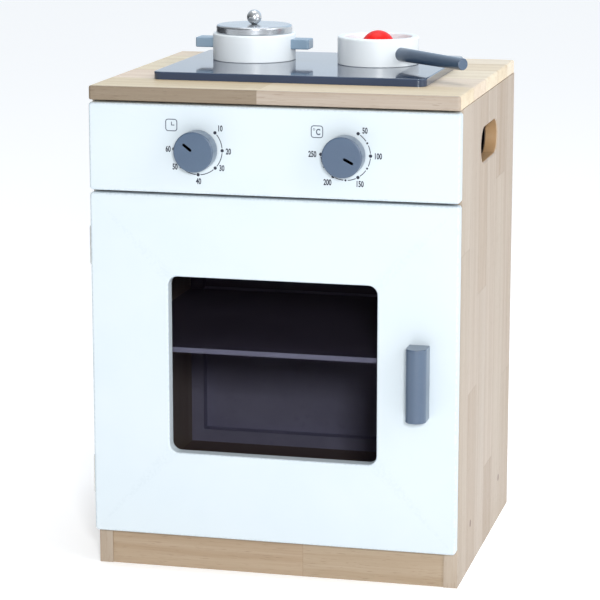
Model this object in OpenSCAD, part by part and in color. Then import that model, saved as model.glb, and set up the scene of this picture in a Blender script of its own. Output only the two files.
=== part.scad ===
// Toy kitchen: a board cabinet with an oven door, two turning knobs, a hob plate, a pot and a pan.
// Origin: on the floor, at the centre of the overall footprint. +X is the viewer's right,
// -Y is the front, +Z is up.

/* [Cabinet] */
// Overall width
body_w = 400; // [320:1:500]
// Depth of the worktop, front edge to back edge
body_d = 350; // [280:1:430]
// Height of the worktop's upper face
body_h = 530; // [430:1:650]
// Thickness of the cabinet boards
board_t = 15; // [12:0.5:20]
// Thickness of the back panel
back_t = 5; // [3:0.5:8]
// Side of the square battens and rails
batten_t = 15; // [10:0.5:20]
// Height of the plinth, which is also the door's lower edge
plinth_h = 41; // [20:1:70]
// How far the plinth stands back from the front edges of the sides
plinth_inset = 1.5; // [0.5:0.5:10]
// Radius on the edges of the worktop and the fronts
edge_r = 3; // [1:0.5:5]

/* [Fronts] */
// Thickness of the control panel
front_t = 15; // [13:0.5:20]
// Gap between the back of the door and the cabinet
door_gap = 1; // [0.8:0.1:2]
// Gap between one front and the next
front_gap = 2.5; // [1.5:0.5:5]
// Height of the control panel
control_h = 94; // [80:1:120]
// Width of the window
window_w = 228; // [150:1:260]
// Height of the window
window_h = 194; // [120:1:230]
// Radius of the window's corners
window_r = 10; // [3:1:30]
// How far the window's centre sits above the door's centre
window_rise = 3; // [-10:0.5:10]
// Thickness of the window pane
pane_t = 2.5; // [2:0.5:3]
// How far the pane laps over the door all round
pane_lap = 14; // [12:1:18]

/* [Door handle] */
// Width of the handle
handle_w = 22.4; // [14:0.1:30]
// Length of the handle
handle_l = 79; // [60:1:120]
// How far the handle stands out from the door
handle_out = 27; // [18:0.5:35]
// Distance from the door's free edge to the handle's centre
handle_inset = 40.7; // [25:0.1:50]
// Distance between the handle's two screws
handle_pitch = 50; // [30:1:60]

/* [Knobs] */
// Diameter of a knob
knob_d = 43; // [30:0.5:50]
// Length of a knob, face to back
knob_l = 18.6; // [12:0.1:22]
// Distance between the two knob centres
knob_spread = 159; // [120:1:200]
// Diameter of a spindle
spindle_d = 8; // [6:0.5:12]
// Radial running clearance of a spindle in the control panel
spindle_play = 0.06; // [0.03:0.01:0.1]
// Diameter of the felt ring behind a knob
felt_d = 26; // [20:1:30]

/* [Hand slots] */
// Length of a hand slot
slot_l = 108; // [80:1:130]
// Height of a hand slot
slot_h = 38; // [25:1:45]
// Distance from the worktop's underside to the slot's centre
slot_drop = 55.5; // [40:0.5:60]

/* [Shelf] */
// Thickness of the shelf
shelf_t = 5.5; // [4:0.5:8]
// Height of the shelf's middle above the oven floor
shelf_up = 187; // [120:1:220]
// Depth of the grooves that hold the shelf
groove_d = 3.5; // [2:0.5:6]
// How far the shelf's front edge is behind the front edges of the sides
shelf_inset = 5; // [5:0.5:20]

/* [Hob] */
// Width of the hob plate
hob_w = 300; // [240:1:350]
// Depth of the hob plate
hob_d = 232; // [180:1:260]
// Thickness of the hob plate
hob_t = 8.5; // [5:0.5:12]
// Radius of the hob plate's corners
hob_r = 10; // [4:1:20]
// Distance from the worktop's front edge to the hob plate
hob_front = 68; // [30:1:90]

/* [Pot] */
// Outer diameter of the pot
pot_d = 93; // [75:1:112]
// Height of the pot
pot_h = 30; // [25:1:45]
// Wall thickness of the pot and the pan
vessel_wall = 8; // [5:0.5:10]
// Floor thickness of the pot and the pan
vessel_floor = 5; // [4:0.5:8]
// How far the lid's rim rests on the pot's wall
lid_lap = 4.25; // [2:0.25:8]
// Thickness of the lid
lid_t = 9; // [5:0.5:12]
// Diameter of the ball on the lid
lid_ball_d = 16.7; // [12:0.1:22]
// Length of a pot handle, from the wall outwards
grip_l = 19; // [12:0.5:26]
// Width of a pot handle
grip_w = 24; // [16:0.5:30]
// Height of a pot handle
grip_h = 11; // [8:0.5:14]
// Distance from the hob to the underside of a pot handle
grip_up = 13; // [8:0.5:16]

/* [Pan] */
// Outer diameter of the pan
pan_d = 90; // [75:1:110]
// Height of the pan
pan_h = 30.5; // [24:0.1:40]
// Diameter of the pan's handle where it meets the pan
stick_d = 15; // [11:0.1:17]
// Diameter of the pan's handle at its free end
stick_end_d = 12.8; // [9:0.1:17]
// Length of the pan's handle, from the wall outwards
stick_l = 115; // [80:1:140]
// Height of the handle's axis above the hob
stick_up = 14; // [11:0.5:16]
// Direction of the handle, measured from +X towards the front
stick_angle = 44; // [0:1:80]
// Diameter of the tomato
tomato_d = 38; // [28:0.5:44]
// Height of the tomato, which has a flat foot
tomato_h = 31.6; // [22:0.1:38]

/* [Hidden] */
$fn = 64;

slip = 0.1;                     // clearance of glued and screwed fits
eps = 0.5;                      // overshoot of a cut past a face
hull_fn = 32;                   // facets of the circles inside a hull

// Planes of the cabinet
front_y = (handle_out - body_d) / 2;
back_y = front_y + body_d;
carcass_y = front_y + front_t;
side_d = back_y - carcass_y;
side_y = carcass_y + side_d / 2;
deck_z = body_h - board_t;
half_w = body_w / 2;
in_w = body_w - 2 * board_t;
in_x = in_w / 2;
inner_back_y = back_y - back_t;
floor_z0 = plinth_h + 1;        // the door's lower edge hangs 1 mm below the oven floor board
floor_z1 = floor_z0 + board_t;
inner_d = inner_back_y - carcass_y;

// Fronts
control_z1 = deck_z - front_gap;
control_z0 = control_z1 - control_h;
control_z = (control_z0 + control_z1) / 2;
door_z0 = plinth_h;
door_z1 = control_z0 - front_gap;
door_h = door_z1 - door_z0;
door_z = (door_z0 + door_z1) / 2;
door_t = front_t - door_gap;
door_back_y = front_y + door_t;
window_z = door_z + window_rise;
divider_z0 = control_z0 - front_gap / 2 - board_t / 2;
divider_z1 = divider_z0 + board_t;
knob_x = knob_spread / 2;

// Shelf
shelf_z = floor_z1 + shelf_up;
shelf_y0 = carcass_y + shelf_inset;
batten_y0 = inner_back_y - batten_t;

// Hinges: butt hinges with the knuckles outside the left edge
leaf_t = 1;
leaf_w = board_t - 1;
leaf_l = 40;
knuckle_r = 2.5;
knuckle_play = 0.3;
hinge_pin_r = 1.2;
pin_play = 0.05;
hinge_x = -half_w - knuckle_r - knuckle_play;
hinge_y = carcass_y - door_gap / 2;
hinge_inset = 60;               // from the door's end to the hinge's middle
knuckles = 5;
hinge_upper_z = door_z1 - hinge_inset;
hinge_lower_z = door_z0 + hinge_inset;
knuckle_h = leaf_l / knuckles;
leaf_screw_dx = 8.5;            // from the cabinet's edge to a leaf's screws
leaf_screw_dz = 12;             // from the hinge's middle to a leaf's screws

// Magnetic catch under the divider
catch_w = 30;
catch_d = 14;
catch_h = 12;
catch_x = in_x - 35;
catch_z = divider_z0 - catch_h / 2;
magnet_w = 20;
magnet_h = 6;
magnet_out = 0.5;
strike_w = 26;
strike_h = 10;
strike_t = 1;
strike_screw_dx = 9;
catch_screw_dx = 11.5;
catch_screw_dy = 10.2;

// Fasteners: [shank radius, head radius, head height]
thin_screw = [1.2, 2.4, 1.4];
wood_screw = [1.6, 3.4, 2.2];
plug_r = 4;
plug_t = 4;
dowel_r = 3;
dowel_l = 22;
plug_front = 78;                // from the side's front edge to its front screw and dowel
plug_back = 69;                 // from the side's back edge to its back screw and dowel
carcass_screw_l = 34;
worktop_screw_l = 24;
hob_screw_l = 19;
pane_screw_l = 9;
back_screw_l = 14;
leaf_screw_l = 10;
handle_screw_l = 28;
panel_screw_l = 24;
rail_screw_x = [45 - in_x, in_x - 45];
panel_screw_x = [85 - in_x, in_x - 85];

// Hob, pot and pan
hob_y0 = front_y + hob_front;
hob_z1 = body_h + hob_t;
hob_bevel = 1;
hob_screw_inset = 22;
pot_r = pot_d / 2;
pan_r = pan_d / 2;
pot_gap = 8.5;                  // from the centre line to the pot handle's end
pot_back_gap = 40;              // from the hob's back edge to the pot
pan_gap = 25.5;                 // from the centre line to the pan
pan_back_gap = 52.5;             // from the hob's back edge to the pan
pot_x = -(pot_gap + grip_l + pot_r);
pot_y = hob_y0 + hob_d - pot_back_gap - pot_r;
pan_x = pan_gap + pan_r;
pan_y = hob_y0 + hob_d - pan_back_gap - pan_r;
rim_r = 2;                      // rounding of the turned pieces
lid_r = pot_r - vessel_wall + lid_lap;
lid_plug_h = 3;
lid_plug_play = 0.6;
lid_z0 = hob_z1 + pot_h;
ball_sink = 0.4;                // flat foot of the ball on the lid
ball_spigot_r = 3;
ball_spigot_l = 6;
grip_r = 1.5;
grip_dowel_r = 2.5;
grip_dowel_in = 5;
grip_dowel_out = 10;
stick_in = 6;                   // depth of the handle's bore in the pan's wall

// Knob and spindle
felt_t = 0.9;
felt_play = 0.3;
knob_y1 = front_y - felt_t - felt_play;
knob_edge_r = 1.3;
spindle_in = 10;                // length of the spindle inside the knob
spindle_back = 0.4;             // how far the spindle stands out behind the control panel
spindle_l = spindle_in + (front_y - knob_y1) + front_t + spindle_back;
washer_r = 9;
washer_t = 1.5;

wood = [0.86, 0.80, 0.69];
white = [0.95, 0.97, 0.98];
slate = [0.33, 0.42, 0.52];
navy = [0.17, 0.23, 0.34];
silver = [0.72, 0.76, 0.80];
steel = [0.62, 0.63, 0.65];
grey = [0.45, 0.46, 0.50];
red = [0.88, 0.08, 0.06];

// A box with its edges and corners rounded in two steps: each inner box puts its eight corners on
// the rounding balls, one along each direction n
module round_slab(size, r) {
    two = sqrt(1 / 2);
    three = sqrt(1 / 3);
    hull() for (n = [[1, 0, 0], [0, 1, 0], [0, 0, 1],
                     [two, two, 0], [two, 0, two], [0, two, two], [three, three, three]]) {
        inset = [r - r * n.x, r - r * n.y, r - r * n.z];
        translate(inset) cube([size.x - 2 * inset.x, size.y - 2 * inset.y, size.z - 2 * inset.z]);
    }
}

// A flat rectangle with round corners, centred
module round_rect(w, h, r) {
    square([w - 2 * r, h], center = true);
    square([w, h - 2 * r], center = true);
    for (x = [-1, 1], y = [-1, 1]) translate([x * (w / 2 - r), y * (h / 2 - r)]) circle(r);
}

// A slot outline with round ends, centred, along X
module stadium(l, h) {
    square([l - h, h], center = true);
    for (x = [-1, 1]) translate([x * (l - h) / 2, 0]) circle(h / 2);
}

// Half of the outline of a turned piece: radius r, height h, its outer corners rounded
module turned_outline(r, h, top_r, foot_r) {
    square([r - top_r, h]);
    translate([0, foot_r]) square([r, h - top_r - foot_r]);
    square([r - foot_r, h - top_r]);
    translate([r - top_r, h - top_r]) circle(top_r);
    translate([r - foot_r, foot_r]) circle(foot_r);
}

// Turns the +Z axis to +Y, to -Y, to +X and to -X
module along_y() { rotate([-90, 0, 0]) children(); }
module along_front() { rotate([90, 0, 0]) children(); }
module along_x() { rotate([0, 90, 0]) children(); }

// A countersunk screw whose head's face is at the origin and whose shank runs along +Z
module screw(s, l) {
    rotate_extrude()
        polygon([[0, 0], [s[1], 0], [s[1], 0.3], [s[0], s[2]], [s[0], l - s[0]], [0, l]]);
}

// The hole for that screw
module screw_hole(s, l) {
    translate([0, 0, -eps]) cylinder(r = s[0] + slip, h = l + eps + slip);
    translate([0, 0, -eps]) cylinder(r = s[1] + slip, h = s[2] + eps);
}

// A pan-head screw: the head stands below the origin's plane, the shank runs along +Z
module pan_head_screw(s, l) {
    translate([0, 0, -s[2]]) cylinder(r = s[1], h = s[2]);
    cylinder(r = s[0], h = l);
}

module pan_head_hole(s, l) {
    translate([0, 0, -eps]) cylinder(r = s[0] + slip, h = l + eps + slip);
}

// ---- places of the fasteners, each used for a screw and for its hole ----

module at_carcass_screws(side) {
    for (y = [carcass_y + plug_front, back_y - plug_back])
        translate([side * half_w, y, (floor_z0 + floor_z1) / 2])
            rotate([0, -side * 90, 0]) children();
}

module at_worktop_screws(y) {
    for (x = rail_screw_x) translate([x, y, deck_z - batten_t]) children();
}

module at_hob_screws() {
    for (x = [-1, 1], y = [hob_y0 + hob_screw_inset, hob_y0 + hob_d - hob_screw_inset])
        translate([x * (hob_w / 2 - hob_screw_inset), y, deck_z]) children();
}

module at_divider_dowels(side) {
    for (y = [carcass_y + plug_front, back_y - plug_back])
        translate([side * (in_x - 1), y, (divider_z0 + divider_z1) / 2])
            along_x() children();
}

module at_panel_screws() {
    for (x = panel_screw_x, z = [deck_z - batten_t / 2, divider_z1 + batten_t / 2])
        translate([x, carcass_y + batten_t, z]) along_front() children();
}

module at_back_screws() {
    edge = batten_t / 2;
    for (x = [-1, 1], z = [floor_z1 + 60, (floor_z1 + divider_z0) / 2, divider_z0 - 60])
        translate([x * (in_x - edge), back_y, z]) along_front() children();
    for (x = [-1, 0, 1], z = [floor_z1 + edge, divider_z0 - edge, deck_z - edge])
        translate([x * in_x / 2, back_y, z]) along_front() children();
}

module at_pane_screws() {
    lap = pane_lap / 2;
    for (x = [-1, 0, 1], z = [-1, 1])
        translate([x * (window_w / 2 + lap), door_back_y + pane_t, window_z + z * (window_h / 2 + lap)])
            along_front() children();
}

module at_handle_screws() {
    for (z = [-1, 1])
        translate([half_w - handle_inset, door_back_y, door_z + z * handle_pitch / 2])
            along_front() children();
}

module at_frame_leaf_screws(z) {
    for (dz = [-1, 1])
        translate([leaf_screw_dx - half_w, carcass_y, z + dz * leaf_screw_dz]) along_y() children();
}

module at_door_leaf_screws(z) {
    for (dz = [-1, 1])
        translate([leaf_screw_dx - half_w, door_back_y, z + dz * leaf_screw_dz])
            along_front() children();
}

module at_strike_screws() {
    for (x = [-1, 1])
        translate([catch_x + x * strike_screw_dx, door_back_y, catch_z]) along_front() children();
}

module at_catch_screws() {
    for (x = [-1, 1])
        translate([catch_x + x * catch_screw_dx, carcass_y + catch_screw_dy, divider_z0 - catch_h])
            children();
}

module at_hob_centre(x, y) { translate([x, y, hob_z1]) children(); }

// ---- cabinet ----

// One side: a board with a hand slot, a groove for the shelf and the holes of its fasteners
module side_panel(side) {
    x0 = side > 0 ? in_x : -half_w;
    chamfer = 1.5;
    color(wood) difference() {
        translate([x0, carcass_y, 0]) cube([board_t, side_d, deck_z]);
        translate([x0 - eps, side_y, deck_z - slot_drop]) rotate([90, 0, 90])
            linear_extrude(board_t + 2 * eps) stadium(slot_l, slot_h);
        for (flip = [0, 1])
            translate([x0 + flip * board_t, side_y, deck_z - slot_drop]) mirror([flip, 0, 0])
                rotate([90, 0, 90]) hull() {
                    translate([0, 0, -chamfer]) linear_extrude(chamfer, $fn = hull_fn)
                        stadium(slot_l + 2 * chamfer, slot_h + 2 * chamfer, $fn = hull_fn);
                    linear_extrude(chamfer, $fn = hull_fn) stadium(slot_l, slot_h, $fn = hull_fn);
                }
        translate([side > 0 ? in_x - eps : -in_x - groove_d, carcass_y - eps,
                   shelf_z - shelf_t / 2 - slip])
            cube([groove_d + eps, batten_y0 - carcass_y + eps, shelf_t + 2 * slip]);
        at_carcass_screws(side) {
            translate([0, 0, -eps]) cylinder(r = plug_r + slip, h = plug_t + eps);
            translate([0, 0, plug_t]) screw_hole(wood_screw, carcass_screw_l);
        }
        at_divider_dowels(side)
            translate([0, 0, -dowel_l / 2 - slip]) cylinder(r = dowel_r + slip, h = dowel_l + 2 * slip);
        if (side < 0) {
            for (z = [hinge_upper_z, hinge_lower_z]) {
                translate([-half_w - eps, carcass_y - eps, z - leaf_l / 2 - slip])
                    cube([leaf_w + eps + slip, leaf_t + eps + slip, leaf_l + 2 * slip]);
                at_frame_leaf_screws(z) screw_hole(thin_screw, leaf_screw_l);
            }
        }
    }
}

// Oven floor
module bottom_panel() {
    color(wood) difference() {
        translate([-in_x, carcass_y, floor_z0]) cube([in_w, inner_d, board_t]);
        for (side = [-1, 1]) at_carcass_screws(side)
            translate([0, 0, plug_t]) screw_hole(wood_screw, carcass_screw_l);
    }
}

// Oven ceiling, which is the floor of the space behind the knobs
module divider_panel() {
    color(wood) difference() {
        translate([-in_x, carcass_y, divider_z0]) cube([in_w, inner_d, board_t]);
        for (side = [-1, 1]) at_divider_dowels(side)
            translate([0, 0, -dowel_l / 2 - slip]) cylinder(r = dowel_r + slip, h = dowel_l + 2 * slip);
        at_catch_screws() screw_hole(thin_screw, catch_h + leaf_screw_l);
    }
}

module worktop() {
    color(wood) difference() {
        translate([-half_w, front_y, deck_z]) round_slab([body_w, body_d, board_t], edge_r);
        at_hob_screws() screw_hole(wood_screw, hob_screw_l);
        for (y = [carcass_y + batten_t / 2, inner_back_y - batten_t / 2])
            at_worktop_screws(y) screw_hole(wood_screw, worktop_screw_l);
    }
}

module plinth() {
    color(wood) translate([-in_x, carcass_y + plinth_inset, 0]) cube([in_w, board_t, floor_z0]);
}

module back_panel() {
    color(grey) difference() {
        translate([-in_x, inner_back_y, floor_z0]) cube([in_w, back_t, deck_z - floor_z0]);
        at_back_screws() screw_hole(thin_screw, back_screw_l);
    }
}

// One upright batten in a back corner of the oven
module upright_batten(side) {
    color(wood) difference() {
        translate([side > 0 ? in_x - batten_t : -in_x, batten_y0, floor_z1])
            cube([batten_t, batten_t, divider_z0 - floor_z1]);
        at_back_screws() screw_hole(thin_screw, back_screw_l);
    }
}

// One level batten between the upright ones
module level_batten(z) {
    color(wood) difference() {
        translate([-in_x + batten_t, batten_y0, z]) cube([in_w - 2 * batten_t, batten_t, batten_t]);
        at_back_screws() screw_hole(thin_screw, back_screw_l);
    }
}

// One rail under the worktop
module top_rail(y) {
    color(wood) difference() {
        translate([-in_x, y, deck_z - batten_t]) cube([in_w, batten_t, batten_t]);
        at_worktop_screws(y + batten_t / 2) screw_hole(wood_screw, worktop_screw_l);
        at_panel_screws() screw_hole(wood_screw, panel_screw_l);
        at_back_screws() screw_hole(thin_screw, back_screw_l);
    }
}

// The strip on the divider that holds the control panel's lower edge
module front_cleat() {
    color(wood) difference() {
        translate([-in_x, carcass_y, divider_z1]) cube([in_w, batten_t, batten_t]);
        at_panel_screws() screw_hole(wood_screw, panel_screw_l);
    }
}

module shelf() {
    color(grey) translate([-in_x - groove_d + slip, shelf_y0, shelf_z - shelf_t / 2])
        cube([in_w + 2 * (groove_d - slip), batten_y0 - shelf_y0 - slip, shelf_t]);
}

module control_panel() {
    color(white) difference() {
        translate([-half_w, front_y, control_z0]) round_slab([body_w, front_t, control_h], edge_r);
        for (x = [-knob_x, knob_x]) translate([x, front_y - eps, control_z]) along_y()
            cylinder(d = spindle_d + 2 * spindle_play, h = front_t + 2 * eps);
        at_panel_screws() screw_hole(wood_screw, panel_screw_l);
    }
}

module hob_plate() {
    color(navy) difference() {
        hull() for (x = [-1, 1], y = [hob_r, hob_d - hob_r])
            translate([x * (hob_w / 2 - hob_r), hob_y0 + y, body_h]) {
                cylinder(r = hob_r, h = hob_t - hob_bevel, $fn = hull_fn);
                cylinder(r = hob_r - hob_bevel, h = hob_t, $fn = hull_fn);
            }
        at_hob_screws() screw_hole(wood_screw, hob_screw_l);
    }
}

// ---- fasteners of the cabinet ----

module hob_screws() { color(steel) at_hob_screws() screw(wood_screw, hob_screw_l); }

module worktop_screws() {
    color(steel) for (y = [carcass_y + batten_t / 2, inner_back_y - batten_t / 2])
        at_worktop_screws(y) screw(wood_screw, worktop_screw_l);
}

module carcass_screws() {
    color(steel) for (side = [-1, 1]) at_carcass_screws(side)
        translate([0, 0, plug_t]) screw(wood_screw, carcass_screw_l);
}

module screw_plugs() {
    color(wood) for (side = [-1, 1]) at_carcass_screws(side) cylinder(r = plug_r, h = plug_t - slip);
}

module divider_dowels() {
    color(wood) for (side = [-1, 1]) at_divider_dowels(side)
        cylinder(r = dowel_r, h = dowel_l, center = true);
}

module control_panel_screws() { color(steel) at_panel_screws() screw(wood_screw, panel_screw_l); }

module back_panel_screws() { color(steel) at_back_screws() screw(thin_screw, back_screw_l); }

// ---- hinges and catch ----

// One leaf with its own knuckles. first = 0 takes the outer knuckles, 1 the inner ones.
module hinge_leaf(z, first, bore_r) {
    on_frame = first == 0;
    y0 = on_frame ? carcass_y : door_back_y - leaf_t;
    color(steel) difference() {
        union() {
            translate([-half_w, y0, z - leaf_l / 2]) cube([leaf_w, leaf_t, leaf_l]);
            for (k = [first:2:knuckles - 1]) {
                z0 = z - leaf_l / 2 + k * knuckle_h + knuckle_play / 2;
                translate([hinge_x, y0, z0])
                    cube([-half_w - hinge_x + eps, leaf_t, knuckle_h - knuckle_play]);
                translate([hinge_x, hinge_y, z0]) cylinder(r = knuckle_r, h = knuckle_h - knuckle_play);
            }
        }
        translate([hinge_x, hinge_y, z - leaf_l / 2 - eps]) cylinder(r = bore_r, h = leaf_l + 2 * eps);
        if (on_frame) at_frame_leaf_screws(z) screw_hole(thin_screw, leaf_screw_l);
        else at_door_leaf_screws(z) screw_hole(thin_screw, leaf_screw_l);
    }
}

module frame_leaf(z) { hinge_leaf(z, 0, hinge_pin_r + slip / 10); }
module door_leaf(z) { hinge_leaf(z, 1, hinge_pin_r + pin_play); }

module hinge_pin(z) {
    cap = 1;
    color(steel) translate([hinge_x, hinge_y, z]) {
        cylinder(r = hinge_pin_r, h = leaf_l, center = true);
        for (end = [-1, 1]) translate([0, 0, end * (leaf_l + cap) / 2])
            cylinder(r = knuckle_r - knuckle_play, h = cap, center = true);
    }
}

module frame_hardware_screws() {
    color(steel) {
        for (z = [hinge_upper_z, hinge_lower_z]) at_frame_leaf_screws(z) screw(thin_screw, leaf_screw_l);
        at_catch_screws() screw(thin_screw, catch_h + leaf_screw_l);
    }
}

module catch_body() {
    color(white) difference() {
        translate([catch_x - catch_w / 2, carcass_y, divider_z0 - catch_h])
            cube([catch_w, catch_d, catch_h]);
        translate([catch_x - magnet_w / 2 - slip, carcass_y - eps, catch_z - magnet_h / 2 - slip])
            cube([magnet_w + 2 * slip, catch_d / 2 + eps, magnet_h + 2 * slip]);
        at_catch_screws() screw_hole(thin_screw, catch_h + leaf_screw_l);
    }
}

module catch_magnet() {
    color(steel) translate([catch_x - magnet_w / 2, carcass_y - magnet_out, catch_z - magnet_h / 2])
        cube([magnet_w, catch_d / 2 + magnet_out, magnet_h]);
}

// ---- door ----

module door_panel() {
    color(white) difference() {
        translate([-half_w, front_y, door_z0]) round_slab([body_w, door_t, door_h], edge_r);
        translate([0, front_y - eps, window_z]) rotate([-90, 0, 0])
            linear_extrude(door_t + 2 * eps) round_rect(window_w, window_h, window_r);
        at_pane_screws() screw_hole(thin_screw, pane_screw_l);
        at_handle_screws() screw_hole(wood_screw, handle_screw_l);
        for (z = [hinge_upper_z, hinge_lower_z]) {
            translate([-half_w - eps, door_back_y - leaf_t - slip, z - leaf_l / 2 - slip])
                cube([leaf_w + eps + slip, leaf_t + slip + eps, leaf_l + 2 * slip]);
            at_door_leaf_screws(z) screw_hole(thin_screw, leaf_screw_l);
        }
        translate([catch_x - strike_w / 2 - slip, door_back_y - strike_t - slip,
                   catch_z - strike_h / 2 - slip])
            cube([strike_w + 2 * slip, strike_t + slip + eps, strike_h + 2 * slip]);
        at_strike_screws() screw_hole(thin_screw, leaf_screw_l);
    }
}

module window_pane() {
    color([0.12, 0.10, 0.12, 0.6]) difference() {
        translate([0, door_back_y, window_z]) rotate([-90, 0, 0]) linear_extrude(pane_t)
            round_rect(window_w + 2 * pane_lap, window_h + 2 * pane_lap, window_r);
        at_pane_screws() pan_head_hole(thin_screw, pane_screw_l);
    }
}

module pane_screws() { color(steel) at_pane_screws() pan_head_screw(thin_screw, pane_screw_l); }

// A straight block with a half-round front, seen from above as a D
module door_handle() {
    color(slate) difference() {
        translate([half_w - handle_inset, front_y, door_z - handle_l / 2]) linear_extrude(handle_l) {
            flank = handle_out - handle_w / 2;
            translate([-handle_w / 2, -flank]) square([handle_w, flank]);
            translate([0, -flank]) circle(d = handle_w);
        }
        at_handle_screws() screw_hole(wood_screw, handle_screw_l);
    }
}

module handle_screws() { color(steel) at_handle_screws() screw(wood_screw, handle_screw_l); }

module door_hardware_screws() {
    color(steel) {
        for (z = [hinge_upper_z, hinge_lower_z]) at_door_leaf_screws(z) screw(thin_screw, leaf_screw_l);
        at_strike_screws() screw(thin_screw, leaf_screw_l);
    }
}

module strike_plate() {
    color(steel) difference() {
        translate([catch_x - strike_w / 2, door_back_y - strike_t, catch_z - strike_h / 2])
            cube([strike_w, strike_t, strike_h]);
        at_strike_screws() screw_hole(thin_screw, leaf_screw_l);
    }
}

// ---- knobs: side is -1 for the timer and 1 for the temperature ----

module at_knob(side) { translate([side * knob_x, knob_y1, control_z]) along_front() children(); }

module knob(side) {
    color(slate) at_knob(side) difference() {
        rotate_extrude() turned_outline(knob_d / 2, knob_l, knob_edge_r, 0.8);
        translate([0, 0, -eps]) cylinder(d = spindle_d + 2 * slip, h = spindle_in + eps + slip);
    }
}

module spindle(side) {
    color(wood) at_knob(side) translate([0, 0, spindle_in - spindle_l]) difference() {
        cylinder(d = spindle_d, h = spindle_l);
        translate([0, 0, -eps]) cylinder(r = thin_screw[0] + slip, h = leaf_screw_l - washer_t + eps + slip);
    }
}

module felt_ring(side) {
    color(grey) at_knob(side) translate([0, 0, -felt_t]) difference() {
        cylinder(d = felt_d, h = felt_t);
        translate([0, 0, -eps]) cylinder(d = spindle_d + 2 * slip, h = felt_t + 2 * eps);
    }
}

module back_washer(side) {
    z0 = -(carcass_y + spindle_back - knob_y1) - washer_t;
    color(steel) at_knob(side) translate([0, 0, z0]) difference() {
        cylinder(r = washer_r, h = washer_t);
        translate([0, 0, -eps]) cylinder(r = thin_screw[0] + slip, h = washer_t + 2 * eps);
    }
}

module spindle_screw(side) {
    z0 = -(carcass_y + spindle_back - knob_y1) - washer_t;
    color(steel) at_knob(side) translate([0, 0, z0]) pan_head_screw(thin_screw, leaf_screw_l);
}

// ---- pot and lid ----

// A turned vessel: an outer drum with a round hollow
module vessel(r, h) {
    difference() {
        rotate_extrude() turned_outline(r, h, rim_r, rim_r / 2);
        translate([0, 0, vessel_floor]) cylinder(r = r - vessel_wall, h = h);
    }
}

module pot_body() {
    color(white) at_hob_centre(pot_x, pot_y) difference() {
        vessel(pot_r, pot_h);
        for (side = [-1, 1]) at_grip_dowel(side) cylinder(r = grip_dowel_r + slip, h = grip_dowel_in + slip);
    }
}

// The dowel's inner end, with the dowel running outwards along +Z
module at_grip_dowel(side) {
    translate([side * (pot_r - grip_dowel_in), 0, grip_up + grip_h / 2])
        rotate([0, side * 90, 0]) children();
}

module pot_handle(side) {
    root = 12;                  // the block starts inside the wall and is cut to its curve
    color(slate) at_hob_centre(pot_x, pot_y) difference() {
        translate([side > 0 ? pot_r - root : -pot_r - grip_l, -grip_w / 2, grip_up])
            round_slab([grip_l + root, grip_w, grip_h], grip_r);
        translate([0, 0, grip_up - eps]) cylinder(r = pot_r, h = grip_h + 2 * eps);
        at_grip_dowel(side) translate([0, 0, -eps])
            cylinder(r = grip_dowel_r + slip, h = grip_dowel_in + grip_dowel_out + eps + slip);
    }
}

module pot_handle_dowels() {
    color(wood) at_hob_centre(pot_x, pot_y) for (side = [-1, 1]) at_grip_dowel(side)
        cylinder(r = grip_dowel_r, h = grip_dowel_in + grip_dowel_out);
}

module pot_lid() {
    color(silver) translate([pot_x, pot_y, lid_z0]) difference() {
        union() {
            rotate_extrude() turned_outline(lid_r, lid_t, rim_r, rim_r / 2);
            translate([0, 0, -lid_plug_h])
                cylinder(r = pot_r - vessel_wall - lid_plug_play, h = lid_plug_h + eps);
        }
        translate([0, 0, lid_t - ball_spigot_l - slip])
            cylinder(r = ball_spigot_r + slip, h = ball_spigot_l + eps);
    }
}

module lid_knob() {
    r = lid_ball_d / 2;
    color(silver) translate([pot_x, pot_y, lid_z0 + lid_t]) {
        difference() {
            translate([0, 0, r - ball_sink]) sphere(r);
            translate([0, 0, -r]) cube(2 * r, center = true);
        }
        translate([0, 0, -ball_spigot_l]) cylinder(r = ball_spigot_r, h = ball_spigot_l + r);
    }
}

// ---- pan and tomato ----

module at_stick() { translate([0, 0, stick_up]) rotate([0, 90, -stick_angle]) children(); }

module pan_body() {
    color(white) at_hob_centre(pan_x, pan_y) difference() {
        vessel(pan_r, pan_h);
        at_stick() translate([0, 0, pan_r - stick_in]) cylinder(r = stick_d / 2 + slip, h = pan_r);
    }
}

module pan_handle() {
    color(slate) at_hob_centre(pan_x, pan_y) at_stick() translate([0, 0, pan_r - stick_in + slip])
        rotate_extrude() intersection() {
            turned_outline(stick_d / 2, stick_l + stick_in, 1, 1);
            polygon([[0, 0], [stick_d / 2, 0], [stick_d / 2, stick_in],
                     [stick_end_d / 2, stick_l + stick_in], [0, stick_l + stick_in]]);
        }
}

module tomato() {
    r = tomato_d / 2;
    color(red) at_hob_centre(pan_x, pan_y) translate([0, 0, vessel_floor]) difference() {
        translate([0, 0, tomato_h - r]) sphere(r);
        translate([0, 0, -tomato_d]) cylinder(r = tomato_d, h = tomato_d);
    }
}

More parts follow.
